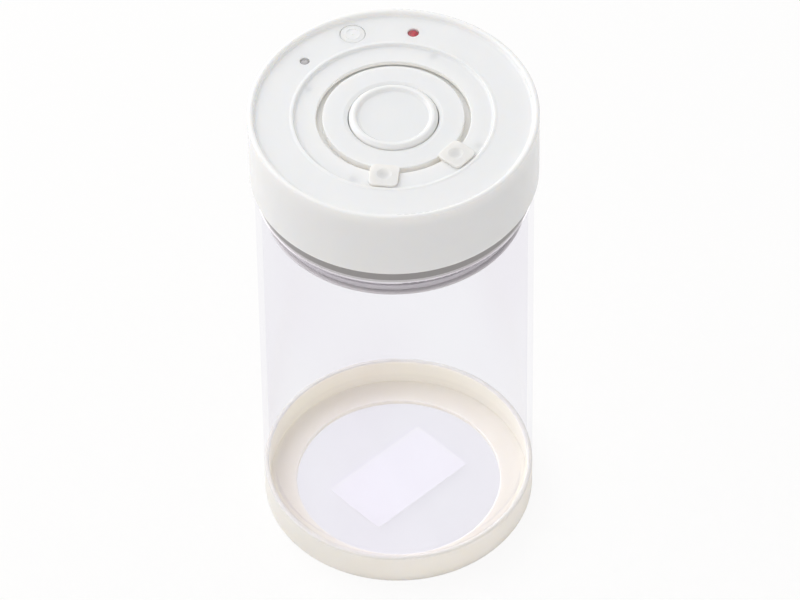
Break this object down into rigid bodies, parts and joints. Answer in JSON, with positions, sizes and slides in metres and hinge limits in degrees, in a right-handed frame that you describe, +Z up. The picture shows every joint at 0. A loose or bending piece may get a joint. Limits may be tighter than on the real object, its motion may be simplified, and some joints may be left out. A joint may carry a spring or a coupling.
{
  "type": "vacuum seal canister",
  "caption": "Clear round food canister in a soft base ring, with a tall lid that pumps out the air: release button, start key, lights, date sliders, battery pump inside.",
  "frame": {"origin": "middle of the base ring's underside, on the surface that the canister stands on", "axes": "+Z up along the jar's axis; the lid's bare front looks 70.8 degrees clockwise of +X, towards -Y"},
  "size_m": [0.106, 0.106, 0.203],
  "materials": {
    "jar_clear": "clear, glossy",
    "ring_cream": "soft satin, cream",
    "sticker_white": "matt paper-like film",
    "lid_white": "satin white",
    "slider_cream": "satin cream white",
    "chassis_grey": "satin grey",
    "silicone_grey": "smooth silicone",
    "silicone_clear": "smooth milky silicone",
    "inner_white": "matt",
    "inner_black": "matt",
    "steel": "brushed",
    "nickel": "plated",
    "cell_wrap": "glossy sleeve",
    "board_green": "lacquered board",
    "light_red": "clear red",
    "light_grey": "smoked",
    "filter_foam": "open foam",
    "wire_sleeve": "soft sleeve"
  },
  "bodies": {
    "jar": {"jar": "jar_clear", "base_ring": "ring_cream", "base_sticker": "sticker_white"},
    "lid": {"lid_cover": "lid_white", "dial_hub": "lid_white", "dial_screws": "steel", "lid_chassis": "chassis_grey", "cover_screws": "steel", "mouth_gasket": "silicone_grey", "battery_box": "inner_black", "batteries": "cell_wrap", "battery_contacts": "nickel", "battery_door": "chassis_grey", "door_gasket": "silicone_grey", "door_screws": "steel", "pump_motor": "steel", "pump_crankcase": "inner_black", "pump_swing_plate": "inner_white", "pump_diaphragm": "silicone_grey", "pump_valve_plate": "inner_white", "pump_cap": "inner_black", "motor_sleeve": "silicone_clear", "pump_clamp": "steel", "pump_screws": "steel", "suction_port": "inner_white", "suction_tube": "silicone_clear", "check_valve": "silicone_clear", "inlet_filter": "filter_foam", "filter_cap": "chassis_grey", "control_board": "board_green", "board_parts": "inner_black", "battery_wires": "wire_sleeve", "motor_wires": "wire_sleeve", "board_screws": "steel", "key_switch": "inner_black", "running_light": "light_red", "status_light": "light_grey", "light_leads": "nickel", "button_spring": "steel"},
    "release_button": {"release_button": "lid_white", "button_stem": "inner_white", "valve_seal": "silicone_clear"},
    "start_key": {"start_key": "lid_white", "switch_plunger": "inner_white"},
    "left_date_slider": {"left_date_slider": "slider_cream"},
    "right_date_slider": {"right_date_slider": "slider_cream"},
    "pump_crank": {"motor_shaft": "steel", "pump_crank": "inner_white"}
  },
  "joints": [
    {"name": "lid_lift", "type": "slide", "parent": "jar", "child": "lid", "axis": [0, 0, 1], "range_m": [0, 0.12]},
    {"name": "release_press", "type": "slide", "parent": "lid", "child": "release_button", "axis": [0, 0, -1], "range_m": [0, 0.0025], "stiffness_N_per_m": 400, "springref_m": -0.005, "deforming": ["button_spring"]},
    {"name": "key_press", "type": "slide", "parent": "lid", "child": "start_key", "axis": [0, 0, -1], "range_m": [0, 0.0004], "stiffness_N_per_m": 1500, "springref_m": -0.0006},
    {"name": "left_slider_turn", "type": "hinge", "parent": "lid", "child": "left_date_slider", "pos_m": [0, 0, 0.2], "axis": [0, 0, 1], "range_deg": [-138, 14]},
    {"name": "right_slider_turn", "type": "hinge", "parent": "lid", "child": "right_date_slider", "pos_m": [0, 0, 0.2], "axis": [0, 0, 1], "range_deg": [-14, 138]},
    {"name": "pump_spin", "type": "hinge", "parent": "lid", "child": "pump_crank", "pos_m": [-0.0074, 0.02125, 0.1745], "axis": [-0.9444, -0.3289, 0], "continuous": true}
  ]
}
